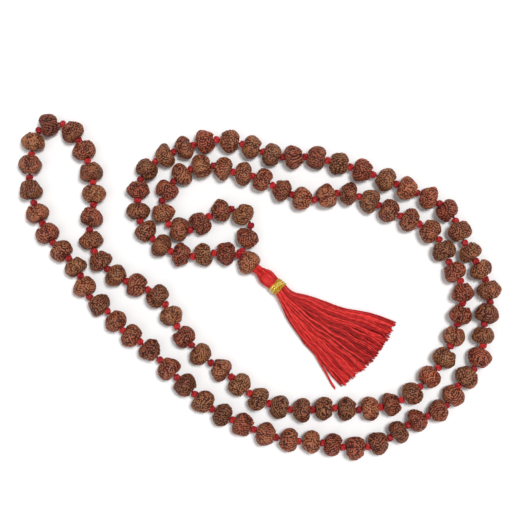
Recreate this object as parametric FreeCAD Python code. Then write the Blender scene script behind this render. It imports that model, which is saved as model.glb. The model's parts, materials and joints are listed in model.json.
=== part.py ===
import FreeCAD, Part
import math
import os

# Mala: seeds on one knotted cord, closed by a guru bead that carries a tassel, laid flat in a loop.
# Millimetres. +Z is up, the beads rest on z = 0, and the origin is under the middle of the whole loop.

# Seed beads
SEED_RADIUS = 4.05                            # the largest seed, across its hole
SEED_SIZES = (1.0, 0.97, 0.985, 0.955, 0.99)  # natural seeds differ: each takes the next of these
SEED_MAX_HALF_LENGTH = 3.05
POLE_RADIUS = 1.7                             # the ring where a seed's side meets its dimpled end
DIMPLE_DEPTH = 0.5
SEED_BORE_RADIUS = 1.0
FREE_SEEDS_PER_SIDE = 25                      # seeds nearest the guru bead, each its own turning piece

# Cord and its knots
CORD_RADIUS = 0.4
KNOT_GAP = 1.6                                # the cord between two seeds' ends
KNOT_RADIUS = 1.15
KNOT_HALF_LENGTH = 0.6
KNOT_END_RADIUS = 0.75
ARC_SHARE = 0.45                              # share of the shorter run that each bend's tangent takes
CORD_HEIGHT = SEED_RADIUS

# Guru bead, where the two strands meet
GURU_CENTRE = (-3.5, 7.7)
GURU_HEADING = -39.4                          # degrees, from the strands towards the tassel
GURU_RADIUS = 4.05
GURU_HALF_LENGTH = 3.1
GURU_BORE_RADIUS = 1.2
JUNCTION_KNOT_CENTRE = (-6.7, 10.95)
JUNCTION_KNOT_HEADING = 58.6                  # it lies across both strands
JUNCTION_KNOT_HALF_LENGTH = 1.7
JUNCTION_KNOT_RADIUS = 1.1
STRAND_END = 0.95                             # how far past the guru bead's middle the strands run
TIE_STEM_RADIUS = 1.05
TIE_KNOB_RADIUS = 1.5
TIE_KNOB_START = 3.2                          # distances from the guru bead's middle
TIE_KNOB_END = 3.7

# Tassel: its own axes are t along it, n across it and Z, measured from the lift pivot in its head
SWING_DISTANCE = 4.1                          # guru bead's middle to the swing pivot
LIFT_DISTANCE = 6.0                           # guru bead's middle to the lift pivot
TASSEL_HEADING = -41.0
TASSEL_HEIGHT = 2.9
HEAD_TOP_RADIUS = 1.85
HEAD_BELLY = (2.8, 2.75)                      # distance along t, radius
HEAD_STEM_RADIUS = 2.2
WRAP_START = 5.1
WRAP_END = 8.1
WRAP_RADIUS = 2.85
HANGER_RADIUS = 0.4
HANGER_KNOT_RADIUS = 0.75
HEAD_CAVITY_RADIUS = 0.95
HEAD_SLOT_WIDTH = 1.3                         # lets the hanger's cord turn as the tassel is lifted
HEAD_SLOT_FRONT = 0.55
HEAD_SLOT_LOW = -0.25
SKIRT_SECTIONS = (                            # along t, centre across n, half-width, height, lowest point
    (8.1, 0.0, 2.2, 4.4, 0.7),
    (11.2, -1.0, 2.5, 4.2, 0.4),
    (16.8, -0.9, 5.6, 4.2, 0.05),
    (26.1, -0.4, 8.3, 3.6, 0.05),
    (34.6, 1.4, 11.4, 3.0, 0.05),
    (47.5, 2.9, 15.3, 2.4, 0.05),
)
FRINGE_CENTRE = (3.6, 2.5)                    # the threads are cut to one length about this point
FRINGE_RADIUS = 43.0

# The cord's route: x, y, and the seeds threaded on the run to the next point. It leaves the guru bead,
# follows the inner edge of the loop, turns back at the far left and follows the outer edge home.
ROUTE = (
    (-6.5, 10.8, 1), (-1.2, 20.4, 1), (-8.8, 26.6, 1), (-16.6, 23.4, 1), (-22.4, 17.5, 1),
    (-30.8, 19.3, 1), (-33.1, 28.5, 1), (-28.7, 34.7, 1), (-22.9, 39.0, 1), (-15.3, 40.6, 1),
    (-8.8, 37.5, 1), (-1.8, 37.0, 2), (10.7, 29.8, 1), (18.5, 27.7, 1), (26.3, 31.4, 1),
    (33.4, 29.9, 2), (46.8, 23.1, 1), (53.7, 20.4, 1), (60.3, 15.8, 1), (62.7, 7.4, 1),
    (67.4, 1.5, 1), (68.1, -6.1, 2), (63.4, -20.5, 1), (59.4, -27.6, 2), (47.6, -38.9, 2),
    (33.1, -41.5, 1), (25.1, -40.3, 2), (10.2, -41.9, 2), (-3.8, -36.3, 1), (-8.9, -29.8, 1),
    (-16.5, -25.9, 2), (-27.6, -14.1, 1), (-30.6, -6.1, 1), (-36.5, -1.1, 1), (-44.3, 1.0, 1),
    (-50.5, 5.3, 1), (-55.3, 11.3, 1), (-56.7, 18.7, 1), (-54.8, 26.7, 1), (-54.8, 34.3, 2),
    (-59.5, 48.6, 1), (-65.3, 55.0, 1), (-75.0, 52.7, 2), (-76.9, 36.2, 1), (-75.5, 27.5, 2),
    (-68.9, 13.9, 1), (-62.9, 9.1, 1), (-59.1, 3.3, 1), (-56.6, -4.5, 1), (-49.7, -8.5, 1),
    (-45.5, -15.1, 1), (-39.0, -18.6, 2), (-27.1, -30.5, 2), (-15.4, -41.3, 1), (-9.0, -44.6, 2),
    (5.9, -51.0, 2), (20.9, -51.8, 1), (27.8, -53.8, 1), (35.7, -53.7, 1), (43.4, -50.5, 1),
    (48.8, -46.0, 2), (62.7, -40.2, 1), (65.7, -33.0, 1), (71.5, -27.8, 1), (74.5, -20.2, 1),
    (74.1, -13.0, 1), (77.2, -5.6, 1), (75.8, 2.1, 2), (67.9, 14.0, 1), (65.7, 22.0, 1),
    (60.1, 27.8, 2), (45.9, 33.5, 1), (38.5, 37.1, 2), (22.8, 41.8, 1), (15.4, 43.4, 1),
    (7.8, 42.1, 2), (-5.8, 47.4, 1), (-13.9, 49.1, 1), (-21.8, 47.2, 2), (-34.9, 41.8, 1),
    (-40.3, 35.6, 2), (-40.2, 20.8, 1), (-35.3, 15.1, 1), (-29.3, 10.9, 1), (-22.2, 9.1, 1),
    (-15.1, 11.1, 1), (-7.2, 10.2, 0),
)
STRAND_SPACING = 0.9                          # between the two strands inside the guru bead

Z = FreeCAD.Vector(0, 0, 1)
ORIGIN = FreeCAD.Vector(0, 0, 0)


def heading(degrees):
    """The level unit vector at this angle from +X."""
    a = math.radians(degrees)
    return FreeCAD.Vector(math.cos(a), math.sin(a), 0)


def level(x, y, z=CORD_HEIGHT):
    return FreeCAD.Vector(x, y, z)


class CordPath:
    """Straight runs joined by tangent arcs, with places on it found by length along it."""

    def __init__(self, points):
        self.edges, self.stations, self.radii = [], [0.0], []
        at, length = points[0], 0.0
        for before, corner, after in zip(points, points[1:], points[2:]):
            arrive = (corner - before).normalize()
            leave = (after - corner).normalize()
            turn = arrive.getAngle(leave)
            tangent = ARC_SHARE * min((corner - before).Length, (after - corner).Length)
            radius = tangent / math.tan(turn / 2)
            start, end = corner - arrive * tangent, corner + leave * tangent
            inward = (leave - arrive).normalize()
            middle = corner + inward * (radius / math.cos(turn / 2) - radius)
            self.edges.append(Part.LineSegment(at, start).toShape())
            self.edges.append(Part.Arc(start, middle, end).toShape())
            length += (start - at).Length + radius * turn
            self.stations.append(length - radius * turn / 2)
            self.radii.append(radius)
            at = end
        self.edges.append(Part.LineSegment(at, points[-1]).toShape())
        self.length = length + (points[-1] - at).Length
        self.stations.append(self.length)

    def place(self, distance):
        """The point and the unit tangent at this distance along the cord."""
        for edge in self.edges:
            if distance <= edge.Length or edge is self.edges[-1]:
                along = edge.getParameterByLength(distance)
                return edge.valueAt(along), edge.tangentAt(along).normalize()
            distance -= edge.Length


def aligned(shape, centre, axis):
    """A shape made about +X, turned to this axis and moved to this centre."""
    turned = shape.copy()
    turn = FreeCAD.Rotation(FreeCAD.Vector(1, 0, 0), axis)
    turned.Placement = FreeCAD.Placement(centre, turn)
    return turned


def revolved(edges):
    """The solid made by turning a closed outline in the XY plane about +X."""
    face = Part.Face(Part.Wire(edges))
    return face.revolve(ORIGIN, FreeCAD.Vector(1, 0, 0), 360)


def polyline(points):
    corners = [FreeCAD.Vector(x, y, 0) for x, y in points]
    return [Part.LineSegment(a, b).toShape() for a, b in zip(corners, corners[1:])]


def arc(start, middle, end):
    a, b, c = (FreeCAD.Vector(x, y, 0) for x, y in (start, middle, end))
    return Part.Arc(a, b, c).toShape()


def seed(radius, half_length, bore_radius):
    """A round seed about +X: a bulging side, dimpled ends and a drilled hole."""
    left, right = (-half_length, POLE_RADIUS), (half_length, POLE_RADIUS)
    inner = half_length - DIMPLE_DEPTH
    hole = polyline((right, (inner, bore_radius), (-inner, bore_radius), left))
    return revolved([arc(left, (0, radius), right)] + hole)


def barrel(radius, end_radius, half_length):
    """A knot about +X: a short barrel with a round side."""
    left, right = (-half_length, end_radius), (half_length, end_radius)
    closing = polyline((right, (half_length, 0), (-half_length, 0), left))
    return revolved([arc(left, (0, radius), right)] + closing)


def make_path():
    """The whole cord, from inside the guru bead round the loop and back into it."""
    guru, out = level(*GURU_CENTRE), heading(GURU_HEADING)
    beside = heading(GURU_HEADING + 90) * (STRAND_SPACING / 2)
    first = guru + out * STRAND_END + beside
    last = guru + out * STRAND_END - beside
    return CordPath([first] + [level(x, y) for x, y, _ in ROUTE] + [last])


def make_cord(path):
    wire = Part.Wire(path.edges)
    start, tangent = path.place(0)
    circle = Part.Circle(start, tangent, CORD_RADIUS).toShape()
    return wire.makePipeShell([Part.Wire([circle])], True, False)


def string_seeds(path):
    """The seeds and spacer knots along the cord, evenly shared out between the route's points."""
    seeds, knots = [], []
    spans = zip(path.stations[1:], path.stations[2:], (count for _, _, count in ROUTE))
    for start, end, count in spans:
        for i in range(count):
            pitch = (end - start) / count
            middle = start + pitch * (i + 0.5)
            if seeds:
                knot_at, knot_axis = path.place(start + pitch * i)
                knots.append(aligned(barrel(KNOT_RADIUS, KNOT_END_RADIUS, KNOT_HALF_LENGTH),
                                     knot_at, knot_axis))
            half_length = min(SEED_MAX_HALF_LENGTH, (pitch - KNOT_GAP) / 2)
            entry, on_cord, leaving = (path.place(middle + d)[0] for d in (-half_length, 0, half_length))
            centre = (entry + leaving) * 0.25 + on_cord * 0.5
            radius = SEED_RADIUS * SEED_SIZES[len(seeds) % len(SEED_SIZES)]
            seeds.append(aligned(seed(radius, half_length, SEED_BORE_RADIUS), centre, leaving - entry))
    return seeds, knots


def make_tie_knot():
    """The strands' finishing knot: a stem in the guru bead's hole and a knob outside it."""
    outline = polyline(((STRAND_END, 0), (STRAND_END, TIE_STEM_RADIUS), (TIE_KNOB_START, TIE_STEM_RADIUS),
                        (TIE_KNOB_START, TIE_KNOB_RADIUS), (TIE_KNOB_END, TIE_KNOB_RADIUS),
                        (TIE_KNOB_END, 0), (STRAND_END, 0)))
    return aligned(revolved(outline), level(*GURU_CENTRE), heading(GURU_HEADING))


def pivots():
    """The swing pivot behind the guru bead and the lift pivot inside the tassel's head."""
    guru, out = level(*GURU_CENTRE), heading(GURU_HEADING)
    lift = guru + out * LIFT_DISTANCE
    lift.z = TASSEL_HEIGHT
    return guru + out * SWING_DISTANCE, lift


def make_hanger():
    """The tassel's hanging cord, and the knot that holds it inside the head."""
    swing, lift = pivots()
    reach = swing - lift
    cord = Part.makeCylinder(HANGER_RADIUS, reach.Length, lift, reach)
    return cord.fuse(Part.makeSphere(HANGER_KNOT_RADIUS, lift)).removeSplitter()


def make_head():
    """The bulb of folded threads and its stem under the wrap, with a slot for the hanging cord."""
    top, shoulder = (-HEAD_TOP_RADIUS, 0), (0, HEAD_TOP_RADIUS)
    diagonal = HEAD_TOP_RADIUS * math.sqrt(0.5)
    collar = (WRAP_START, HEAD_STEM_RADIUS + 0.1)
    outline = [arc(top, (-diagonal, diagonal), shoulder), arc(shoulder, HEAD_BELLY, collar)]
    outline += polyline((collar, (WRAP_START, HEAD_STEM_RADIUS), (WRAP_END, HEAD_STEM_RADIUS),
                         (WRAP_END, 0), top))
    head = revolved(outline)
    cavity = Part.makeSphere(HEAD_CAVITY_RADIUS)
    reach = 2 * HEAD_TOP_RADIUS
    corner = FreeCAD.Vector(HEAD_SLOT_FRONT - reach, -HEAD_SLOT_WIDTH / 2, HEAD_SLOT_LOW)
    slot = Part.makeBox(reach, HEAD_SLOT_WIDTH, reach, corner)
    return aligned(head.cut(cavity.fuse(slot)), pivots()[1], heading(TASSEL_HEADING))


def make_wrap():
    ring = Part.makeCylinder(WRAP_RADIUS, WRAP_END - WRAP_START).cut(
        Part.makeCylinder(HEAD_STEM_RADIUS, WRAP_END - WRAP_START))
    ring.Placement = FreeCAD.Placement(FreeCAD.Vector(WRAP_START, 0, 0),
                                       FreeCAD.Rotation(Z, FreeCAD.Vector(1, 0, 0)))
    edges = [e for e in ring.Edges if abs(e.Length - 2 * math.pi * WRAP_RADIUS) < 0.01]
    return in_tassel_axes(ring.makeFillet(0.3, edges))


def in_tassel_axes(shape):
    """A shape in the tassel's own axes, moved to its place."""
    moved = shape.copy()
    place = FreeCAD.Placement(pivots()[1], FreeCAD.Rotation(Z, TASSEL_HEADING))
    moved.Placement = place.multiply(shape.Placement)
    return moved


def make_skirt():
    """The fan of threads below the wrap, its ends cut along an arc."""
    rings = []
    for along, across, half_width, height, lowest in SKIRT_SECTIONS:
        centre = FreeCAD.Vector(along, across, lowest + height / 2 - TASSEL_HEIGHT)
        side, top = FreeCAD.Vector(0, half_width, 0), FreeCAD.Vector(0, 0, height / 2)
        if half_width < height / 2 + 0.001:
            ring = Part.Circle(centre, FreeCAD.Vector(1, 0, 0), half_width)
            ring.XAxis = FreeCAD.Vector(0, 1, 0)
        else:
            ring = Part.Ellipse(centre + side, centre + top, centre)
        rings.append(Part.Wire([ring.toShape()]))
    fan = Part.makeLoft(rings, True, True)
    centre = FreeCAD.Vector(*FRINGE_CENTRE, -TASSEL_HEIGHT - 1)
    trim = Part.makeCylinder(FRINGE_RADIUS, 3 * TASSEL_HEIGHT, centre)
    return in_tassel_axes(fan.common(trim))


def save(name, shape):
    shape.exportStep(f"parts/{name}.step")
    box = shape.BoundBox
    print(f"{name}: {len(shape.Solids)} solid(s), valid {shape.isValid()}, "
          f"x {box.XMin:.2f} {box.XMax:.2f}, y {box.YMin:.2f} {box.YMax:.2f}, z {box.ZMin:.2f} {box.ZMax:.2f}")


def main():
    os.makedirs("parts", exist_ok=True)
    path = make_path()
    cord = make_cord(path)
    section = math.pi * CORD_RADIUS ** 2
    print(f"cord {path.length:.1f} mm, volume over section times length "
          f"{cord.Volume / (section * path.length):.4f}")
    print("arc radii", " ".join(f"{r:.1f}" for r in path.radii))
    seeds, knots = string_seeds(path)
    print(f"{len(seeds)} seeds, {len(knots)} spacer knots")

    save("thread", cord)
    save("spacer_knots", Part.makeCompound(knots))
    for number, bead in enumerate(seeds, 1):
        if min(number, len(seeds) + 1 - number) <= FREE_SEEDS_PER_SIDE:
            save(f"bead_{number:03d}", bead)
    save("beads_far_run", Part.makeCompound(seeds[FREE_SEEDS_PER_SIDE:-FREE_SEEDS_PER_SIDE]))

    guru, out = level(*GURU_CENTRE), heading(GURU_HEADING)
    save("guru_bead", aligned(seed(GURU_RADIUS, GURU_HALF_LENGTH, GURU_BORE_RADIUS), guru, out))
    junction = barrel(JUNCTION_KNOT_RADIUS, KNOT_END_RADIUS, JUNCTION_KNOT_HALF_LENGTH)
    save("junction_knot", aligned(junction, level(*JUNCTION_KNOT_CENTRE), heading(JUNCTION_KNOT_HEADING)))
    save("tie_knot", make_tie_knot())
    save("tassel_hanger", make_hanger())
    save("tassel_head", make_head())
    save("gold_wrap", make_wrap())
    save("tassel_skirt", make_skirt())


main()
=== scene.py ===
import json
import math

import bpy
import numpy as np
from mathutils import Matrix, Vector


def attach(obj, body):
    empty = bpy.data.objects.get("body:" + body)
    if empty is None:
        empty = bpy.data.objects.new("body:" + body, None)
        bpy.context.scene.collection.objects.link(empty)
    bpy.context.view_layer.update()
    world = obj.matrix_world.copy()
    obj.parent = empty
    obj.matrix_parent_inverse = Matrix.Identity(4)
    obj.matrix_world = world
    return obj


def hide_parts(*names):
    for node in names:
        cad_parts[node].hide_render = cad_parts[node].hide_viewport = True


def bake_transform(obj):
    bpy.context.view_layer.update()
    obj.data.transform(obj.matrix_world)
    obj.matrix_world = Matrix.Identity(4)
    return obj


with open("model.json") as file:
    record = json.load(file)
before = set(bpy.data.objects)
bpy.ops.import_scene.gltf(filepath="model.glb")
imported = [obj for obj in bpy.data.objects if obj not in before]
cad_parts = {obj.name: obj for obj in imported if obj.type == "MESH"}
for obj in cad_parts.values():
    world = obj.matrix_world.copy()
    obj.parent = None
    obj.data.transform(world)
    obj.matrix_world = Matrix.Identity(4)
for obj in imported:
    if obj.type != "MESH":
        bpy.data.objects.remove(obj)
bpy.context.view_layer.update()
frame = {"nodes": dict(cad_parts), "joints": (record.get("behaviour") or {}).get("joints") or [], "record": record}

MM = 0.001
TAU = 2 * math.pi

# The cord's route, in millimetres, as the frame lays it: from the guru bead, round the loop and back.
CORD_HEIGHT = 4.05
CORD_DIAMETER = 0.8
GURU_CENTRE = (-3.5, 7.7)
GURU_HEADING = math.radians(-39.4)
STRAND_END = 0.95  # past the guru bead's middle
STRAND_SPACING = 0.9
GURU = np.array([*GURU_CENTRE, CORD_HEIGHT])
OUT = np.array([math.cos(GURU_HEADING), math.sin(GURU_HEADING), 0])  # from the strands towards the tassel
BESIDE = np.array([-OUT[1], OUT[0], 0])
UP = np.array([0, 0, 1])
CORD_LENGTH = 844
ROUTE = (
    (-6.5, 10.8), (-1.2, 20.4), (-8.8, 26.6), (-16.6, 23.4), (-22.4, 17.5),
    (-30.8, 19.3), (-33.1, 28.5), (-28.7, 34.7), (-22.9, 39.0), (-15.3, 40.6),
    (-8.8, 37.5), (-1.8, 37.0), (10.7, 29.8), (18.5, 27.7), (26.3, 31.4),
    (33.4, 29.9), (46.8, 23.1), (53.7, 20.4), (60.3, 15.8), (62.7, 7.4),
    (67.4, 1.5), (68.1, -6.1), (63.4, -20.5), (59.4, -27.6), (47.6, -38.9),
    (33.1, -41.5), (25.1, -40.3), (10.2, -41.9), (-3.8, -36.3), (-8.9, -29.8),
    (-16.5, -25.9), (-27.6, -14.1), (-30.6, -6.1), (-36.5, -1.1), (-44.3, 1.0),
    (-50.5, 5.3), (-55.3, 11.3), (-56.7, 18.7), (-54.8, 26.7), (-54.8, 34.3),
    (-59.5, 48.6), (-65.3, 55.0), (-75.0, 52.7), (-76.9, 36.2), (-75.5, 27.5),
    (-68.9, 13.9), (-62.9, 9.1), (-59.1, 3.3), (-56.6, -4.5), (-49.7, -8.5),
    (-45.5, -15.1), (-39.0, -18.6), (-27.1, -30.5), (-15.4, -41.3), (-9.0, -44.6),
    (5.9, -51.0), (20.9, -51.8), (27.8, -53.8), (35.7, -53.7), (43.4, -50.5),
    (48.8, -46.0), (62.7, -40.2), (65.7, -33.0), (71.5, -27.8), (74.5, -20.2),
    (74.1, -13.0), (77.2, -5.6), (75.8, 2.1), (67.9, 14.0), (65.7, 22.0),
    (60.1, 27.8), (45.9, 33.5), (38.5, 37.1), (22.8, 41.8), (15.4, 43.4),
    (7.8, 42.1), (-5.8, 47.4), (-13.9, 49.1), (-21.8, 47.2), (-34.9, 41.8),
    (-40.3, 35.6), (-40.2, 20.8), (-35.3, 15.1), (-29.3, 10.9), (-22.2, 9.1),
    (-15.1, 11.1), (-7.2, 10.2),
)

# The tassel's own axes: t along it, n across it and Z, measured from its lift pivot
TASSEL_HEADING = math.radians(-41.0)
TASSEL_HEIGHT = 2.9
SKIRT_SECTIONS = (  # along t, centre across n, half-width, height, lowest point
    (8.1, 0.0, 2.2, 4.4, 0.7),
    (11.2, -1.0, 2.5, 4.2, 0.4),
    (16.8, -0.9, 5.6, 4.2, 0.05),
    (26.1, -0.4, 8.3, 3.6, 0.05),
    (34.6, 1.4, 11.4, 3.0, 0.05),
    (47.5, 2.9, 15.3, 2.4, 0.05),
)
FRINGE_CENTRE = (3.6, 2.5)
FRINGE_RADIUS = 43.0


# ---------------------------------------------------------------- mesh helpers

def new_object(name, verts, faces, smooth=True):
    """A mesh object from arrays of points and of four-cornered faces, in metres."""
    me = bpy.data.meshes.new(name)
    verts, faces = np.asarray(verts, np.float32), np.asarray(faces, np.int32)
    me.vertices.add(len(verts))
    me.vertices.foreach_set("co", verts.ravel())
    me.loops.add(faces.size)
    me.loops.foreach_set("vertex_index", faces.ravel())
    me.polygons.add(len(faces))
    me.polygons.foreach_set("loop_start", np.arange(len(faces), dtype=np.int32) * faces.shape[1])
    me.update(calc_edges=True)
    me.polygons.foreach_set("use_smooth", np.full(len(faces), smooth))
    me.validate()
    ob = bpy.data.objects.new(name, me)
    bpy.context.scene.collection.objects.link(ob)
    return ob


def add_attribute(ob, name, values):
    layer = ob.data.attributes.new(name, "FLOAT", "POINT")
    layer.data.foreach_set("value", np.asarray(values, np.float32))


def ring_faces(rings, around, closed=False):
    """Faces of a tube of points laid ring after ring."""
    last = rings if closed else rings - 1
    i, j = np.meshgrid(np.arange(last), np.arange(around), indexing="ij")
    k, n = (j + 1) % around, (i + 1) % rings
    return np.stack([i * around + j, n * around + j, n * around + k, i * around + k], -1).reshape(-1, 4)


def frames_along(path):
    """Tangents and two steady normals along a line of points."""
    tangent = np.gradient(path, axis=0)
    tangent /= np.linalg.norm(tangent, axis=1)[:, None]
    start = np.cross(tangent[0], (0.0, 0.0, 1.0))
    if np.linalg.norm(start) < 0.1:
        start = np.cross(tangent[0], (0.0, 1.0, 0.0))
    normal = np.empty_like(path)
    normal[0] = start / np.linalg.norm(start)
    for i in range(1, len(path)):
        n = normal[i - 1] - tangent[i] * (normal[i - 1] @ tangent[i])
        normal[i] = n / np.linalg.norm(n)
    return tangent, normal, np.cross(tangent, normal)


class Tubes:
    """Many thread-like tubes gathered into one mesh, each with its own tint and a twist in its UV map."""

    def __init__(self):
        self.verts, self.faces, self.tints, self.uvs, self.count = [], [], [], [], 0

    def add(self, path, radius, tint, around=6, closed=False, taper=1.0):
        """One tube along a line of points; an open one is capped, and its last ring shrinks to taper."""
        path = np.asarray(path, float)
        rings = len(path)
        _, n, b = frames_along(path)
        a = np.arange(around) / around * TAU
        r = np.broadcast_to(np.asarray(radius, float), (rings,)).copy()
        if not closed:
            r[-1] *= taper
        circle = n[:, None] * np.cos(a)[None, :, None] + b[:, None] * np.sin(a)[None, :, None]
        self.verts.append((path[:, None] + circle * r[:, None, None]).reshape(-1, 3))
        faces = ring_faces(rings, around, closed)
        self.faces.append(faces + self.count)
        steps = np.linalg.norm(np.diff(path, axis=0), axis=1)
        along = np.concatenate([[0], np.cumsum(steps)])
        ring, side = np.divmod(faces, around)
        u = along[ring]
        if closed:
            u = np.where((ring == 0) & (ring.max(1, keepdims=True) == rings - 1), along[-1] + steps[0], u)
        v = side / around
        v = np.where((side == 0) & (side.max(1, keepdims=True) == around - 1), 1.0, v)
        self.uvs.append(np.stack([u, v], -1).reshape(-1, 2))
        self.tints.append(np.full(rings * around, tint))
        self.count += rings * around
        if not closed:
            self.cap(path[0], rings, around, 0)
            self.cap(path[-1], rings, around, rings - 1)

    def cap(self, centre, rings, around, ring):
        """Closes a tube's end with a fan of four-cornered faces round a middle point."""
        base = self.count - rings * around if ring == 0 else self.count - 1 - rings * around
        first = base + ring * around
        self.verts.append(np.asarray(centre)[None])
        self.tints.append(self.tints[-1][:1])
        j = np.arange(0, around, 2)
        corners = [first + j, first + (j + 1) % around, first + (j + 2) % around, np.full(len(j), self.count)]
        quads = np.stack(corners, -1)
        self.faces.append(quads if ring else quads[:, ::-1])
        self.uvs.append(np.zeros((quads.size, 2)))
        self.count += 1

    def build(self, name):
        """The object of all the tubes so far, from millimetres to metres."""
        ob = new_object(name, np.concatenate(self.verts) * MM, np.concatenate(self.faces))
        add_attribute(ob, "tint", np.concatenate(self.tints))
        layer = ob.data.uv_layers.new(name="thread")
        layer.data.foreach_set("uv", np.concatenate(self.uvs).astype(np.float32).ravel())
        return ob


def turned(points, centre, axis, spin=0.0):
    """Points made about +X, spun about it, then turned to this level axis and moved to this centre."""
    c, s = math.cos(spin), math.sin(spin)
    x, y, z = points[:, 0], points[:, 1] * c - points[:, 2] * s, points[:, 1] * s + points[:, 2] * c
    along = np.asarray(axis, float) / np.linalg.norm(axis)
    side = np.cross((0.0, 0.0, 1.0), along)
    side /= np.linalg.norm(side)
    up = np.cross(along, side)
    return x[:, None] * along + y[:, None] * side + z[:, None] * up + np.asarray(centre)


# ---------------------------------------------------------------- the frame's solids

def islands(node):
    """The separate solids of a CAD node, each an array of points in millimetres."""
    me = frame["nodes"][node].data
    co = np.empty(len(me.vertices) * 3, np.float32)
    me.vertices.foreach_get("co", co)
    co = co.reshape(-1, 3).astype(float) / MM
    key, index = np.unique(np.round(co, 4), axis=0, return_inverse=True)
    index = index.ravel()
    edges = np.empty(len(me.edges) * 2, np.int32)
    me.edges.foreach_get("vertices", edges)
    edges = index[edges.reshape(-1, 2)]
    label = np.arange(len(key))
    while True:
        low = np.minimum(label[edges[:, 0]], label[edges[:, 1]])
        new = label.copy()
        np.minimum.at(new, edges[:, 0], low)
        np.minimum.at(new, edges[:, 1], low)
        new = new[new]
        if (new == label).all():
            break
        label = new
    groups = [key[label == g] for g in np.unique(label)]
    return groups


def axis_of(points, near):
    """A turned solid's centre, axis, half-length and radius. Near the direction given, its axis is the
    level line along which it is shortest; with None, the one of all along which it is longest."""
    start = math.atan2(near[1], near[0]) if near is not None else 0.0
    spread = math.radians(25) if near is not None else math.pi / 2
    best = None
    for angle in start + np.linspace(-spread, spread, 361):
        along = points[:, 0] * math.cos(angle) + points[:, 1] * math.sin(angle)
        size = along.max() - along.min()
        if best is None or (size < best[0]) == (near is not None):
            best = (size, angle)
    return measured(points, (math.cos(best[1]), math.sin(best[1])))


def measured(points, axis):
    """A turned solid's centre, axis, half-length and radius, from the direction of its axis."""
    axis = np.array([axis[0], axis[1], 0.0])
    axis /= np.linalg.norm(axis)
    along = points @ axis
    middle = (along.max() + along.min()) / 2
    side = np.array([-axis[1], axis[0], 0.0])
    across, height = points @ side, points[:, 2]
    centre = axis * middle + side * (across.max() + across.min()) / 2
    centre[2] = (height.max() + height.min()) / 2
    radius = (height.max() - height.min()) / 2
    return centre, axis, (along.max() - along.min()) / 2, radius


# ---------------------------------------------------------------- materials

def new_material(name):
    """A material with one principled shader, and what is needed to add nodes to it."""
    mat = bpy.data.materials.new(name)
    mat.use_nodes = True
    nodes = mat.node_tree.nodes
    nodes.clear()
    out = nodes.new("ShaderNodeOutputMaterial")
    shader = nodes.new("ShaderNodeBsdfPrincipled")
    mat.node_tree.links.new(shader.outputs[0], out.inputs[0])
    return mat, nodes, mat.node_tree.links, shader


def ramp(nodes, stops):
    """A colour ramp through these places and linear colours."""
    node = nodes.new("ShaderNodeValToRGB")
    while len(node.color_ramp.elements) < len(stops):
        node.color_ramp.elements.new(0.5)
    for element, (place, colour) in zip(node.color_ramp.elements, stops):
        element.position, element.color = place, (*colour, 1)
    return node


def srgb(r, g, b):
    """A colour given as 0 to 255 screen values, as linear light."""
    return tuple((c / 255 / 12.92) if c <= 10 else ((c / 255 + 0.055) / 1.055) ** 2.4 for c in (r, g, b))


def noise(nodes, links, coordinates, scale, detail=3.0, roughness=0.55):
    node = nodes.new("ShaderNodeTexNoise")
    node.inputs["Scale"].default_value = scale
    node.inputs["Detail"].default_value = detail
    node.inputs["Roughness"].default_value = roughness
    links.new(coordinates, node.inputs["Vector"])
    return node


def maths(nodes, links, operation, a, b):
    node = nodes.new("ShaderNodeMath")
    node.operation = operation
    for socket, value in zip(node.inputs, (a, b)):
        if isinstance(value, (int, float)):
            socket.default_value = value
        else:
            links.new(value, socket)
    return node.outputs[0]


def mix(nodes, links, blend, factor, a, b):
    node = nodes.new("ShaderNodeMix")
    node.data_type, node.blend_type = "RGBA", blend
    for socket, value in ((node.inputs[0], factor), (node.inputs[6], a), (node.inputs[7], b)):
        if isinstance(value, (int, float)):
            socket.default_value = value
        elif isinstance(value, tuple):
            socket.default_value = (*value, 1)
        else:
            links.new(value, socket)
    return node.outputs[2]


def attribute(nodes, name):
    node = nodes.new("ShaderNodeAttribute")
    node.attribute_name = name
    return node.outputs["Fac"]


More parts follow.
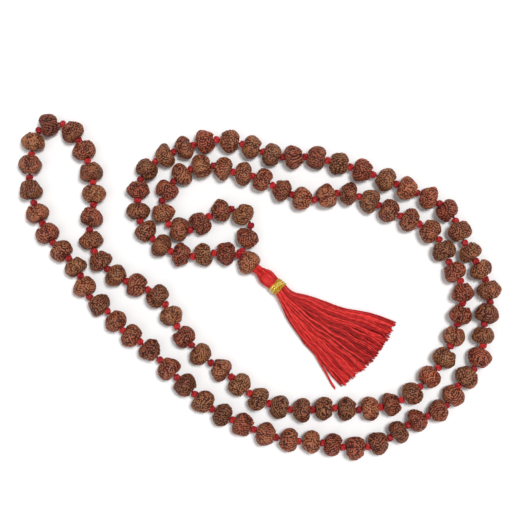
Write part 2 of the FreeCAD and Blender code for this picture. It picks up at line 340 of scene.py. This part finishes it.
def seed_material():
    """Dry seed: red-brown flanks, ridge tops lighter tan as painted highlight, and grooves dark maroon as painted
    shade.
    """
    mat, nodes, links, shader = new_material("seed_shell")
    where = nodes.new("ShaderNodeTexCoord").outputs["Object"]
    ridge, tint = attribute(nodes, "ridge"), attribute(nodes, "tint")
    grain = noise(nodes, links, where, 2600, 4, 0.65)
    patches = noise(nodes, links, where, 420, 3, 0.6)
    speck = maths(nodes, links, "MULTIPLY_ADD", grain.outputs["Fac"], 0.34)
    nodes[-1].inputs[2].default_value = 0.32
    # level is the ridge attribute plus fine grain. Its tan top end on ridge tops is painted highlight, and its
    # dark maroon low end in grooves and clefts is painted shade.
    level = maths(nodes, links, "ADD", ridge, speck)
    colours = ramp(nodes, [
        (0.0, srgb(32, 5, 7)), (0.25, srgb(48, 13, 12)), (0.5, srgb(70, 27, 20)),
        (0.75, srgb(100, 50, 36)), (1.0, srgb(180, 122, 90))])
    links.new(level, colours.inputs[0])
    warm = mix(nodes, links, "MULTIPLY", maths(nodes, links, "MULTIPLY", patches.outputs["Fac"], 0.55),
               colours.outputs[0], srgb(226, 170, 160))
    shade = ramp(nodes, [(0.0, (0.56, 0.50, 0.50)), (0.5, (0.76, 0.72, 0.70)), (1.0, (1.0, 1.0, 0.94))])
    links.new(tint, shade.inputs[0])
    blush = ramp(nodes, [(0.0, (0.84, 0.94, 0.80)), (0.5, (0.95, 0.86, 0.82)), (1.0, (1.0, 0.66, 0.66))])
    patchy = maths(nodes, links, "MULTIPLY_ADD", patches.outputs["Fac"], 1.6)
    nodes[-1].inputs[2].default_value = -0.8
    links.new(maths(nodes, links, "ADD", attribute(nodes, "blush"), patchy), blush.inputs[0])
    shaded = mix(nodes, links, "MULTIPLY", 1.0, warm, shade.outputs[0])
    links.new(mix(nodes, links, "MULTIPLY", 1.0, shaded, blush.outputs[0]), shader.inputs["Base Color"])
    rough = nodes.new("ShaderNodeMapRange")
    rough.inputs["To Min"].default_value, rough.inputs["To Max"].default_value = 0.8, 0.38
    links.new(level, rough.inputs[0])
    links.new(rough.outputs[0], shader.inputs["Roughness"])
    shader.inputs["Specular IOR Level"].default_value = 0.22
    bump = nodes.new("ShaderNodeBump")
    bump.inputs["Strength"].default_value = 0.5
    bump.inputs["Distance"].default_value = 0.00012
    links.new(grain.outputs["Fac"], bump.inputs["Height"])
    links.new(bump.outputs[0], shader.inputs["Normal"])
    return mat


def thread_material(name, ply_pitch, plies, sheen, dark, middle, light, uv_map="thread"):
    """Twisted thread: a ply pattern that runs slantwise round each tube, in its bumps and in its colour as painted
    shade between the plies, fibre grain and a soft sheen.
    """
    mat, nodes, links, shader = new_material(name)
    if uv_map:
        uv = nodes.new("ShaderNodeUVMap")
        uv.uv_map = uv_map
        source = uv.outputs[0]
    else:
        source = nodes.new("ShaderNodeTexCoord").outputs["UV"]
        ply_pitch /= CORD_LENGTH  # its own UV runs from 0 to 1 over its whole length
    parts = nodes.new("ShaderNodeSeparateXYZ")
    links.new(source, parts.inputs[0])
    along = maths(nodes, links, "MULTIPLY", parts.outputs[0], TAU / ply_pitch)
    around = maths(nodes, links, "MULTIPLY", parts.outputs[1], TAU * plies)
    own_start = maths(nodes, links, "MULTIPLY", attribute(nodes, "tint"), 40.0)
    shifted = maths(nodes, links, "ADD", around, own_start)
    ply = maths(nodes, links, "COSINE", maths(nodes, links, "ADD", along, shifted), 0.0)
    ply = maths(nodes, links, "MULTIPLY_ADD", ply, 0.5)
    nodes[-1].inputs[2].default_value = 0.5
    where = nodes.new("ShaderNodeTexCoord").outputs["Object"]
    fibre = noise(nodes, links, where, 3200, 3, 0.7)
    patches = noise(nodes, links, where, 260, 2, 0.5)
    tint = attribute(nodes, "tint")
    # The ply pattern darkens the colour between the plies: painted shade.
    level = maths(nodes, links, "MULTIPLY", ply, 0.12)
    level = maths(nodes, links, "ADD", level, maths(nodes, links, "MULTIPLY", tint, 0.62))
    level = maths(nodes, links, "ADD", level, maths(nodes, links, "MULTIPLY", fibre.outputs["Fac"], 0.2))
    level = maths(nodes, links, "ADD", level, maths(nodes, links, "MULTIPLY", patches.outputs["Fac"], 0.15))
    colours = ramp(nodes, [(0.12, dark), (0.5, middle), (0.92, light)])
    links.new(level, colours.inputs[0])
    links.new(colours.outputs[0], shader.inputs["Base Color"])
    rough = nodes.new("ShaderNodeMapRange")
    rough.inputs["To Min"].default_value, rough.inputs["To Max"].default_value = 0.72, 0.5
    links.new(level, rough.inputs[0])
    links.new(rough.outputs[0], shader.inputs["Roughness"])
    shader.inputs["Specular IOR Level"].default_value = 0.35
    shader.inputs["Sheen Weight"].default_value = sheen
    shader.inputs["Sheen Roughness"].default_value = 0.4
    shader.inputs["Sheen Tint"].default_value = (1.0, 0.35, 0.35, 1)
    height = maths(nodes, links, "ADD", ply, maths(nodes, links, "MULTIPLY", fibre.outputs["Fac"], 0.6))
    bump = nodes.new("ShaderNodeBump")
    bump.inputs["Strength"].default_value = 0.7
    bump.inputs["Distance"].default_value = 0.00006
    links.new(height, bump.inputs["Height"])
    links.new(bump.outputs[0], shader.inputs["Normal"])
    return mat


def gold_material():
    """Metallic yarn: bright strips of gold film wrapped slantwise, with duller gaps."""
    mat, nodes, links, shader = new_material("gold_yarn")
    uv = nodes.new("ShaderNodeUVMap")
    uv.uv_map = "thread"
    parts = nodes.new("ShaderNodeSeparateXYZ")
    links.new(uv.outputs[0], parts.inputs[0])
    along = maths(nodes, links, "MULTIPLY", parts.outputs[0], TAU / 0.62)
    around = maths(nodes, links, "MULTIPLY", parts.outputs[1], TAU)
    film = maths(nodes, links, "COSINE", maths(nodes, links, "ADD", along, around), 0.0)
    where = nodes.new("ShaderNodeTexCoord").outputs["Object"]
    glint = noise(nodes, links, where, 1900, 2, 0.5)
    level = maths(nodes, links, "MULTIPLY_ADD", film, 0.14)
    nodes[-1].inputs[2].default_value = 0.05
    level = maths(nodes, links, "ADD", level, maths(nodes, links, "MULTIPLY", glint.outputs["Fac"], 0.5))
    level = maths(nodes, links, "ADD", level, maths(nodes, links, "MULTIPLY", attribute(nodes, "tint"), 0.4))
    colours = ramp(nodes, [(0.2, srgb(150, 108, 14)), (0.5, srgb(218, 172, 44)), (0.85, srgb(250, 232, 140))])
    links.new(level, colours.inputs[0])
    links.new(colours.outputs[0], shader.inputs["Base Color"])
    shader.inputs["Metallic"].default_value = 0.75
    rough = nodes.new("ShaderNodeMapRange")
    rough.inputs["To Min"].default_value, rough.inputs["To Max"].default_value = 0.48, 0.26
    links.new(level, rough.inputs[0])
    links.new(rough.outputs[0], shader.inputs["Roughness"])
    bump = nodes.new("ShaderNodeBump")
    bump.inputs["Strength"].default_value = 0.9
    bump.inputs["Distance"].default_value = 0.00009
    links.new(film, bump.inputs["Height"])
    links.new(bump.outputs[0], shader.inputs["Normal"])
    return mat


SEED = seed_material()
CORD_LINE = thread_material("red_line", 0.9, 3, 0.15, srgb(84, 6, 11), srgb(150, 16, 24), srgb(206, 44, 48),
                            uv_map=None)
CORD_RED = thread_material("red_cord", 0.9, 3, 0.08, srgb(78, 5, 8), srgb(142, 14, 19), srgb(208, 46, 46))
SILK_RED = thread_material("red_silk", 2.6, 2, 0.08, srgb(104, 2, 3), srgb(184, 11, 11), srgb(238, 56, 48))
GOLD = gold_material()


def finish_piece(ob, material, slot, body, *nodes):
    """Gives a piece its material and body, and the CAD nodes that it stands for; its slot is not used."""
    ob.data.materials.clear()
    ob.data.materials.append(material)
    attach(ob, body)
    if nodes:
        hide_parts(*nodes)
    return ob


# ---------------------------------------------------------------- camera, light and floor

CAMERA_TARGET = Vector((-1.32, 10.05, 4.0)) * MM
CAMERA_DISTANCE = 0.52
CAMERA_ELEVATION = math.radians(86)
VIEW_WIDTH = 0.1695


def make_camera():
    """Looks down on the loop, a little from its near side, as wide as the photograph's frame."""
    data = bpy.data.cameras.new("camera")
    camera = bpy.data.objects.new("camera", data)
    bpy.context.scene.collection.objects.link(camera)
    back = Vector((0, -math.cos(CAMERA_ELEVATION), math.sin(CAMERA_ELEVATION)))
    camera.location = CAMERA_TARGET + back * CAMERA_DISTANCE
    camera.rotation_mode = "QUATERNION"
    camera.rotation_quaternion = (-back).to_track_quat("-Z", "Y")
    data.sensor_width = 36
    data.lens = 36 * CAMERA_DISTANCE / VIEW_WIDTH
    data.clip_start, data.clip_end = 0.01, 20
    bpy.context.scene.camera = camera


def make_cord():
    """The one red cord, from inside the guru bead round the loop and back into it."""
    beside = BESIDE[:2] * STRAND_SPACING / 2
    inside = GURU[:2] + OUT[:2] * STRAND_END
    points = [inside + beside, *ROUTE, inside - beside]
    data = bpy.data.curves.new("thread_cord", "CURVE")
    data.dimensions = "3D"
    spline = data.splines.new("NURBS")
    spline.points.add(len(points) - 1)
    for point, (x, y) in zip(spline.points, points):
        point.co = (x * MM, y * MM, CORD_HEIGHT * MM, 1)
    spline.order_u = 3
    spline.use_endpoint_u = True
    spline.resolution_u = 14
    cord = bpy.data.objects.new("thread_cord", data)
    bpy.context.scene.collection.objects.link(cord)
    bpy.context.view_layer.update()
    shape = bpy.data.meshes.new_from_object(cord.evaluated_get(bpy.context.evaluated_depsgraph_get()))
    path = np.array([v.co for v in shape.vertices]) / MM
    bpy.data.meshes.remove(shape)
    data.bevel_depth = CORD_DIAMETER / 2 * MM
    data.bevel_resolution = 4
    finish_piece(cord, CORD_LINE, "red_thread", "strand", "thread")
    return path


make_camera()
cord_path = make_cord()


# ---------------------------------------------------------------- seeds

SEED_AROUND, SEED_OUTER, SEED_BORE = 176, 76, 6
FULLNESS = (1.05, 1.03)  # the grown seed against its plain turned form, along its hole and across
MAX_RADIUS = 4.24
CROWDED = ("bead_004", "bead_005", "bead_006")  # in the sharpest bend, so slimmer and less skewed
BORE_RADIUS = 1.0
FIRST_FAR_SEED = 26


def seed_profile(half, radius, squareness):
    """Rings of a seed from one end of its hole, over the side, and back through the hole."""
    a = np.linspace(0, math.pi, 600)
    power = 2 / squareness
    x = -half * np.sign(np.cos(a)) * np.abs(np.cos(a)) ** power
    r = BORE_RADIUS + (radius - BORE_RADIUS) * np.sin(a).clip(0) ** power
    x *= 1 - 0.65 / half * np.exp(-((r - BORE_RADIUS) / 0.75) ** 2)
    step = np.concatenate([[0], np.cumsum(np.hypot(np.diff(x), np.diff(r)))])
    even = np.linspace(0, step[-1], SEED_OUTER)
    x, r = np.interp(even, step, x), np.interp(even, step, r)
    nx, nr = np.gradient(r), np.gradient(-x)
    back = np.linspace(x[-1], x[0], SEED_BORE + 2)[1:-1]
    x, r = np.concatenate([x, back]), np.concatenate([r, np.full(SEED_BORE, BORE_RADIUS)])
    size = np.hypot(nx, nr)
    nx = np.concatenate([-nx / size, np.zeros(SEED_BORE)])
    nr = np.concatenate([-nr / size, np.full(SEED_BORE, 1.0)])
    return x, r, nx, nr


def waves(points, count, low, high, squeeze, rng):
    """Random smooth relief of unit strength: a sum of waves with lengths between low and high."""
    total = np.zeros(len(points))
    for _ in range(count):
        way = rng.normal(size=3) * (squeeze, 1, 1)
        way *= TAU / rng.uniform(low, high) / np.linalg.norm(way)
        total += np.cos(points @ way + rng.uniform(0, TAU))
    return total * math.sqrt(2 / count)


def make_seed(name, centre, axis, half, radius, body, node, rng):
    """One rudraksha seed: five lobes between clefts, knobbly winding ridges, and a drilled hole."""
    half, radius = half * FULLNESS[0], radius * FULLNESS[1]
    skew = rng.uniform(-0.26, 0.26)
    if node in CROWDED:
        half, radius, skew = half * 0.97, radius * 0.955, skew * 0.2
    x, r, nx, nr = seed_profile(half, radius, rng.uniform(1.5, 1.95))
    a = np.arange(SEED_AROUND) / SEED_AROUND * TAU
    c, s = np.cos(a), np.sin(a)
    points, normal = (
        np.stack([np.repeat(level, SEED_AROUND), np.outer(side, c).ravel(), np.outer(side, s).ravel()], -1)
        for level, side in ((x, r), (nx, nr)))
    angle = np.tile(a, len(x))
    reach = np.repeat(r, SEED_AROUND)
    free = ((reach - BORE_RADIUS - 0.15) / 0.6).clip(0, 1)
    free = free * free * (3 - 2 * free)
    wander = 0.16 * waves(points, 5, 3.0, 6.0, 1.0, rng)
    first = rng.uniform(0, TAU)
    places = first + np.arange(5) * TAU / 5 + rng.normal(0, 0.13, 5)
    turn = (angle[:, None] + wander[:, None] - places + math.pi) % TAU - math.pi
    gap = np.abs(turn).min(axis=1) * reach
    cleft = np.exp(-(gap / 0.34) ** 2)
    lobe = np.exp(-(gap / 1.1) ** 2)
    relief = rng.uniform(0.45, 1.3)
    ridges = waves(points, 20, 0.58, 0.86, 0.75, rng)
    fine = waves(points, 12, 0.36, 0.5, 1.0, rng)
    lumps = waves(points, 7, 2.8, 5.5, 1.0, rng)
    height = 0.12 * relief * np.tanh(1.4 * ridges) + 0.02 * fine + 0.13 * lumps
    height += -0.12 * cleft - 0.09 * lobe
    points = points + normal * (height * free)[:, None]
    points[:, 0] *= half / np.abs(points[:, 0]).max()
    across = np.hypot(points[:, 1], points[:, 2])
    points[:, 1:] *= min(radius / across[reach > 0.97 * reach.max()].mean(), MAX_RADIUS / across.max())
    points[:, 0] += skew * half * (1 - (points[:, 0] / half).clip(-1, 1) ** 2)
    # The ridge attribute is the colour level. It is high on crests and lumps as painted highlight, low in grooves
    # and clefts as painted shade, and lowest in the hole and its mouth as painted shade.
    ridge = 0.42 + 0.46 * relief * np.tanh(1.3 * ridges - 0.25) + 0.06 * fine + 0.05 * lumps - 0.2 * cleft
    ridge = ridge * free + 0.08 * (1 - free)
    at = turned(points, centre, axis, rng.uniform(0, TAU))
    ob = new_object(name, at * MM, ring_faces(len(x), SEED_AROUND, closed=True)[:, ::-1])
    add_attribute(ob, "ridge", ridge.clip(0, 1))
    tint = np.clip(rng.normal(0.5, 0.22) + 0.5 * (1 - relief), 0, 1)
    add_attribute(ob, "tint", np.full(len(at), tint))
    add_attribute(ob, "blush", np.full(len(at), rng.uniform(0, 1) * min(1, relief)))
    return finish_piece(ob, SEED, "seed", body, node)


def make_seeds():
    """A seed for each one in the frame: those with a body of their own, and those of the far run."""
    rng = np.random.default_rng(108)
    for body, nodes in frame["record"]["behaviour"]["bodies"].items():
        for node in nodes:
            if node == "guru_bead" or (node.startswith("bead_") and node[5:].isdigit()):
                joint = next(j for j in frame["joints"] if j["child"] == body)
                points = np.concatenate(islands(node))
                axis = OUT if node == "guru_bead" else joint["axis"]
                make_seed(node + "_seed", *measured(points, axis), body, node, rng)
    for i, points in enumerate(islands("beads_far_run")):
        middle = (points.min(0) + points.max(0)) / 2
        nearest = np.argmin(np.linalg.norm(cord_path - middle, axis=1))
        along = cord_path[min(nearest + 6, len(cord_path) - 1)] - cord_path[max(nearest - 6, 0)]
        name = f"far_seed_{i + FIRST_FAR_SEED:03d}"
        make_seed(name, *axis_of(points, along), "strand", "beads_far_run", rng)


# ---------------------------------------------------------------- knots

TIE_KNOT_PLACE = 3.1  # from the guru bead's middle, in the mouth of its hole


def overhand(centre, axis, spread, thickness, radius, turn, tubes, tint, along=64):
    """A tight overhand knot round an axis: three crossing loops of thread, spread across it and as thick
    along it as given, and turned about it."""
    a = np.arange(along) / along * TAU
    loop = np.stack([thickness * -np.sin(3 * a), spread * (np.sin(a) + 2 * np.sin(2 * a)),
                     spread * (np.cos(a) - 2 * np.cos(2 * a))], -1)
    tubes.add(turned(loop, centre, axis, turn), radius, tint, 10, closed=True)


def place_on_cord(point):
    """The nearest point of the cord and its direction there."""
    nearest = int(np.argmin(np.linalg.norm(cord_path - point, axis=1)))
    low, high = max(nearest - 1, 0), min(nearest + 1, len(cord_path) - 1)
    return cord_path[nearest], cord_path[high] - cord_path[low]


def make_knots():
    """The knots between the seeds, the one that joins both strands and the one that ties the tassel on."""
    rng = np.random.default_rng(27)
    tubes = Tubes()
    for points in islands("spacer_knots"):
        centre, along = place_on_cord((points.min(0) + points.max(0)) / 2)
        overhand(centre, along, 0.275 * rng.uniform(0.95, 1.08), 0.5, 0.5, rng.uniform(0, TAU), tubes,
                 rng.uniform(0.35, 0.8))
    finish_piece(tubes.build("spacer_knot_threads"), CORD_RED, "red_thread", "strand", "spacer_knots")

    tubes = Tubes()
    centre, axis, half, radius = axis_of(np.concatenate(islands("junction_knot")), None)
    centre = centre + (0.25, -0.25, 0)
    for share, size, turn in ((-0.66, 0.31, 0.2), (0.0, 0.34, 1.1), (0.66, 0.31, 2.3)):
        overhand(centre + axis * half * share, axis, size, 0.4, 0.44, turn, tubes, rng.uniform(0.4, 0.7))
    finish_piece(tubes.build("junction_knot_threads"), CORD_RED, "red_thread", "strand", "junction_knot")

    tubes = Tubes()
    for side in (-1, 1):
        run = np.linspace(STRAND_END - 0.3, TIE_KNOT_PLACE, 14)[:, None]
        drawn_in = 1 - 0.4 * (run / TIE_KNOT_PLACE) ** 4
        tubes.add(GURU + OUT * run + BESIDE * side * STRAND_SPACING / 2 * drawn_in, 0.42, 0.5, 10)
    overhand(GURU + OUT * TIE_KNOT_PLACE, OUT, 0.44, 0.1, 0.36, 0.4, tubes, 0.6, 80)
    finish_piece(tubes.build("tie_knot_threads"), CORD_RED, "red_thread", "strand", "tie_knot")


# ---------------------------------------------------------------- tassel

JOINTS = {joint["name"]: joint for joint in frame["joints"]}
SWING, LIFT = (np.array(JOINTS[name]["pos_m"]) / MM for name in ("tassel_swing", "tassel_lift"))
ALONG = np.array([math.cos(TASSEL_HEADING), math.sin(TASSEL_HEADING), 0.0])
ACROSS = np.array([-ALONG[1], ALONG[0], 0.0])


def in_tassel(t, n, z):
    """Points from distances along the tassel, across it and above the floor."""
    t, n, z = (values[..., None] for values in np.broadcast_arrays(t, n, z))
    return np.array([LIFT[0], LIFT[1], 0.0]) + t * ALONG + n * ACROSS + z * (0, 0, 1)


def make_hanger():
    """The tassel's hanging cord and the knot that holds it inside the head."""
    tubes = Tubes()
    reach = LIFT - SWING
    side = np.cross(reach, (0, 0, 1))
    side /= np.linalg.norm(side)
    for sign in (-1, 1):
        share = np.linspace(0.06, 1, 10)[:, None]
        tubes.add(SWING + reach * share + side * 0.2 * sign, 0.24, 0.5, 8)
    overhand(LIFT, reach, 0.14, 0.2, 0.26, 0.3, tubes, 0.5, 48)
    finish_piece(tubes.build("tassel_hanger_cord"), CORD_RED, "red_thread", "tassel_link", "tassel_hanger")


NECK_START = 3.05  # from the guru bead's middle
NECK_END = -1.1  # along the tassel
NECK_THREADS = 30


def make_neck():
    """Threads bound from the finishing knot into the head, fixed where they lie at rest."""
    rng = np.random.default_rng(3)
    tubes = Tubes()
    start = GURU + OUT * NECK_START
    end = in_tassel(NECK_END, 0, TASSEL_HEIGHT)
    share = np.linspace(0, 1, 16)[:, None]
    for i in range(NECK_THREADS):
        angle = (i + rng.uniform(-0.2, 0.2)) / NECK_THREADS * TAU + 0.25 * share
        radius = 1.28 + 0.12 * np.sin(share * math.pi) + rng.uniform(-0.05, 0.05)
        path = start + (end - start) * share + radius * (BESIDE * np.cos(angle) + UP * np.sin(angle))
        tubes.add(path, 0.22, rng.uniform(0.2, 0.95), 8)
    # The core inside the threads has a dark tint and shows between them as painted shade.
    tubes.add(start + (end - start) * share, 1.2, 0.12, 32)
    ob = tubes.build("tassel_neck_threads")
    ob.data.materials.append(SILK_RED)
    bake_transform(ob)


HEAD_THREADS = 46  # in each of its two layers
HEAD_TOP = 1.86  # the radius of its round top, which starts as far before the lift pivot


def head_radius(t):
    """The head's radius at a distance along the tassel: a rounded top, a belly and a drawn-in neck."""
    rounded = np.sqrt((HEAD_TOP ** 2 - np.minimum(t, 0) ** 2).clip(0))
    body = np.interp(t, (0, 0.7, 1.4, 2.1, 2.8, 3.5, 4.2, 4.8, 5.1, 8.1),
                     (HEAD_TOP, 2.3, 2.54, 2.56, 2.5, 2.4, 2.26, 2.14, 2.1, 2.1))
    return np.where(t < 0, rounded, body)


def make_head():
    """Threads folded over the hanging cord and drawn in by the wrap, over a solid core."""
    rng = np.random.default_rng(5)
    tubes = Tubes()
    a = np.concatenate([np.linspace(-HEAD_TOP, 0, 14), np.linspace(0.35, 8.0, 22)])
    radius = head_radius(a)
    centre = in_tassel(a, 0, TASSEL_HEIGHT)
    # The core under the threads has a dark tint and shows between them as painted shade.
    tubes.add(centre, (radius - 0.2).clip(0.05), 0.12, 40)
    for lift, size, offset in ((-0.16, 0.24, 0.0), (-0.09, 0.22, 0.5)):
        for i in range(HEAD_THREADS):
            angle = (i + offset + rng.uniform(-0.15, 0.15)) / HEAD_THREADS * TAU
            from_top = abs((angle - math.pi / 2 + math.pi) % TAU - math.pi)
            start = 0.55 if from_top < 0.42 else rng.uniform(0, 0.08) - HEAD_TOP
            t = start + (8.0 - start) * np.linspace(0, 1, 44) ** 1.4
            r = head_radius(t) + lift + 0.05 * np.sin(t * rng.uniform(1.5, 3) + rng.uniform(0, TAU))
            swirl = angle + 0.16 * np.sin(t * 0.55 + rng.uniform(-0.4, 0.4)) + rng.normal(0, 0.03) * t / 3
            tubes.add(in_tassel(t, r * np.cos(swirl), TASSEL_HEIGHT + r * np.sin(swirl)), size,
                      rng.uniform(0.2, 0.95), 6)
    finish_piece(tubes.build("tassel_head_threads"), SILK_RED, "tassel_thread", "tassel", "tassel_head")


def make_wrap():
    """Turns of gold yarn round the neck, some lying slantwise over the others."""
    rng = np.random.default_rng(9)
    tubes = Tubes()
    a = np.arange(72) / 72 * TAU
    rows = [(5.35 + 0.42 * i, 2.28, rng.normal(0.0, 0.07), 0.29, rng.uniform(0.0, 0.5)) for i in range(7)]
    # The slantwise turns over the others alternate light and dark tints: painted highlight bands.
    rows += [(5.72 + 0.5 * i, 2.42, (0.5, 0.8, 0.4, 0.7, 0.45)[i], 0.33, (0.35, 1.0, 0.5, 0.95, 0.2)[i])
             for i in range(5)]
    for t, r, slant, size, tint in rows:
        lean = t + slant * np.sin(a + rng.normal(0, 0.2)) + 0.05 * np.sin(3 * a + rng.uniform(0, TAU))
        around = in_tassel(lean.clip(5.2, 8.0), r * np.sin(a + 0.5), TASSEL_HEIGHT + r * np.cos(a + 0.5))
        tubes.add(around, size, tint, 10, closed=True)
    # The core under the turns has a dark tint and shows between them as painted shade.
    core = np.linspace(5.1, 8.05, 6)
    tubes.add(in_tassel(core, 0, TASSEL_HEIGHT), 2.25, 0.2, 40)
    finish_piece(tubes.build("gold_wrap_yarn"), GOLD, "gold_thread", "tassel", "gold_wrap")


def fan_at(t, w, v):
    """Where a thread of the skirt lies: w places it across the fan and v in its height, -1 to 1."""
    columns = np.array(SKIRT_SECTIONS).T
    across, half, height, low = (np.interp(t, columns[0], column) for column in columns[1:])
    return across + w * half, low + height / 2 + v * height / 2


def smoothed(values, reach):
    """A row of numbers averaged over its neighbours on both sides."""
    width = 2 * reach + 1
    return np.convolve(np.pad(values, reach, mode="edge"), np.ones(width) / width, mode="valid")


def make_skirt():
    """The fan of fine crinkled threads, gathered in locks and cut ragged along an arc."""
    rng = np.random.default_rng(41)
    for piece, locks, count, size, level in (("under", 19, 9, 0.23, -0.42), ("over", 22, 11, 0.21, 0.42)):
        tubes = Tubes()
        spacing = 2 / locks
        for lock in range(locks):
            place = -0.91 + 0.965 * spacing * (lock + 0.5) + rng.normal(0, 0.12) * spacing
            wave, swing = rng.uniform(9, 15), rng.uniform(0.1, 0.45)
            phase, twist, turn = rng.uniform(0, TAU), rng.uniform(-2.2, 2.2), rng.uniform(0, TAU)
            height = level + rng.normal(0, 0.18)
            shorter = abs(rng.normal(0, 0.8)) if 0 < lock < locks - 1 else 0
            for strand in range(count):
                reach = math.sqrt((strand + 0.5) / count)
                spin = strand * 2.4 + turn
                end = 47.0
                for _ in range(3):
                    n, _ = fan_at(end, place, 0)
                    end = FRINGE_CENTRE[0] + math.sqrt(FRINGE_RADIUS ** 2 - (n - FRINGE_CENTRE[1]) ** 2)
                end += 0.5 - shorter - 1.5 * reach ** 2 * rng.uniform(0.4, 1.2)
                end -= rng.uniform(0.5, 2.5) if rng.random() < 0.1 else 0
                t = np.linspace(7.95, end, 46)
                far = ((t - 8) / 38).clip(0, 1)
                angle = spin + twist * far
                gather = 1.25 - 0.65 * np.clip((far - 0.6) / 0.4, 0, 1) * rng.uniform(0.3, 1.3)
                w = place + spacing * 0.5 * gather * reach * np.cos(angle)
                v = (height + 0.5 * reach * np.sin(angle)) * np.sqrt((1 - (0.97 * w) ** 2).clip(0.04))
                n, z = fan_at(t, w, v.clip(-0.95, 0.95))
                sway = swing * np.sin(t * TAU / wave + phase)
                crinkle = 0.15 * np.sin(t * TAU / rng.uniform(2.8, 6.0) + rng.uniform(0, TAU))
                n = n + (sway + crinkle + rng.normal(0, 0.3) * far) * np.minimum(1, far * 2.2)
                ripple = 0.12 * np.sin(t * TAU / rng.uniform(3.5, 8) + rng.uniform(0, TAU))
                z = z + ripple * np.minimum(1, far * 3)
                n, z = smoothed(n, 2), smoothed(z, 2)
                tubes.add(in_tassel(t, n, np.maximum(z, size + 0.02)), size, rng.beta(1.0, 1.0), 6, taper=0.6)
        ob = tubes.build(f"tassel_skirt_{piece}")
        finish_piece(ob, SILK_RED, "tassel_thread", "tassel", "tassel_skirt")

    tubes = Tubes()
    strays = (  # the thread's places along and across at its start, its bend and its end, and its thickness
        (10, -1.6, 34.5, -10.0, 43.5, -13.3, 0.24), (10, -1.4, 34.5, -9.7, 43.1, -12.9, 0.24),
        (12, -1.0, 28, -2.0, 46.9, 3.4, 0.18), (12, 0.0, 28, 4.0, 46.2, 8.4, 0.18))
    for t0, n0, t1, n1, t2, n2, size in strays:
        t = np.linspace(t0, t2, 46)
        bend = np.interp(t, (t0, t1, t2), (n0, n1, n2))
        n = smoothed(bend, 6) + 0.15 * np.sin(t * 0.9 + n2)
        n[-6:] = bend[-6:] + 0.15 * np.sin(t[-6:] * 0.9 + n2)
        z = 4.0 - 3.4 * np.linspace(0, 1, 46) ** 1.1 + 0.1 * np.sin(t * 0.9)
        tubes.add(in_tassel(t, smoothed(n, 3), z.clip(0.25)), size, 0.6, 6, taper=0.6)
    finish_piece(tubes.build("tassel_skirt_strays"), SILK_RED, "tassel_thread", "tassel", "tassel_skirt")

    # A dark core inside the fan, in the threads' darkest tint, shows in the gaps between the locks as painted
    # shade.
    t = np.linspace(8.0, 38.0, 31)
    a = np.arange(48) / 48 * TAU
    n, z = fan_at(t[:, None], np.cos(a)[None] * 0.86, np.sin(a)[None] * 0.45 - 0.3)
    ob = new_object("tassel_skirt_shade_core", (in_tassel(t[:, None], n, z.clip(0.1)) * MM).reshape(-1, 3),
                    ring_faces(len(t), 48)[:, ::-1])
    add_attribute(ob, "tint", np.zeros(len(ob.data.vertices)))
    layer = ob.data.uv_layers.new(name="thread")
    ring, side = np.divmod(ring_faces(len(t), 48)[:, ::-1], 48)
    layer.data.foreach_set("uv", np.stack([t[ring], side / 4], -1).astype(np.float32).ravel())
    finish_piece(ob, SILK_RED, "tassel_thread", "tassel", "tassel_skirt")


# ---------------------------------------------------------------- the stage

def make_stage():
    """A plain pale floor, soft studio light and an even surround."""
    mat, nodes, links, shader = new_material("floor_white")
    shader.inputs["Base Color"].default_value = (0.92, 0.92, 0.92, 1)
    shader.inputs["Roughness"].default_value = 0.9
    shader.inputs["Specular IOR Level"].default_value = 0.1
    corners = [(-4, -4, 0), (4, -4, 0), (4, 4, 0), (-4, 4, 0)]
    floor = new_object("floor", corners, [(0, 1, 2, 3)], smooth=False)
    floor.data.materials.append(mat)

    world = bpy.data.worlds.new("studio")
    bpy.context.scene.world = world
    world.use_nodes = True
    nodes, links = world.node_tree.nodes, world.node_tree.links
    way = nodes.new("ShaderNodeSeparateXYZ")
    links.new(nodes.new("ShaderNodeTexCoord").outputs["Generated"], way.inputs[0])
    glow = nodes.new("ShaderNodeMapRange")
    glow.inputs["From Min"].default_value, glow.inputs["From Max"].default_value = 0.2, 0.32
    glow.inputs["To Min"].default_value, glow.inputs["To Max"].default_value = 0.98, 0.26
    links.new(way.outputs[2], glow.inputs[0])
    links.new(glow.outputs[0], nodes["Background"].inputs[1])
    nodes["Background"].inputs[0].default_value = (1, 1, 1, 1)

    for name, place, softness, power in (("key_light", (0.2, 0.12, 1.0), 14, 2.3),
                                         ("fill_light", (-0.3, -0.2, 0.9), 50, 0.7)):
        data = bpy.data.lights.new(name, "SUN")
        data.angle, data.energy = math.radians(softness), power
        light = bpy.data.objects.new(name, data)
        bpy.context.scene.collection.objects.link(light)
        light.location = place
        light.rotation_mode = "QUATERNION"
        light.rotation_quaternion = (-Vector(place)).to_track_quat("-Z", "Y")


make_seeds()
make_knots()
make_hanger()
make_neck()
make_head()
make_wrap()
make_skirt()
make_stage()
bpy.context.scene.view_settings.view_transform = "Standard"
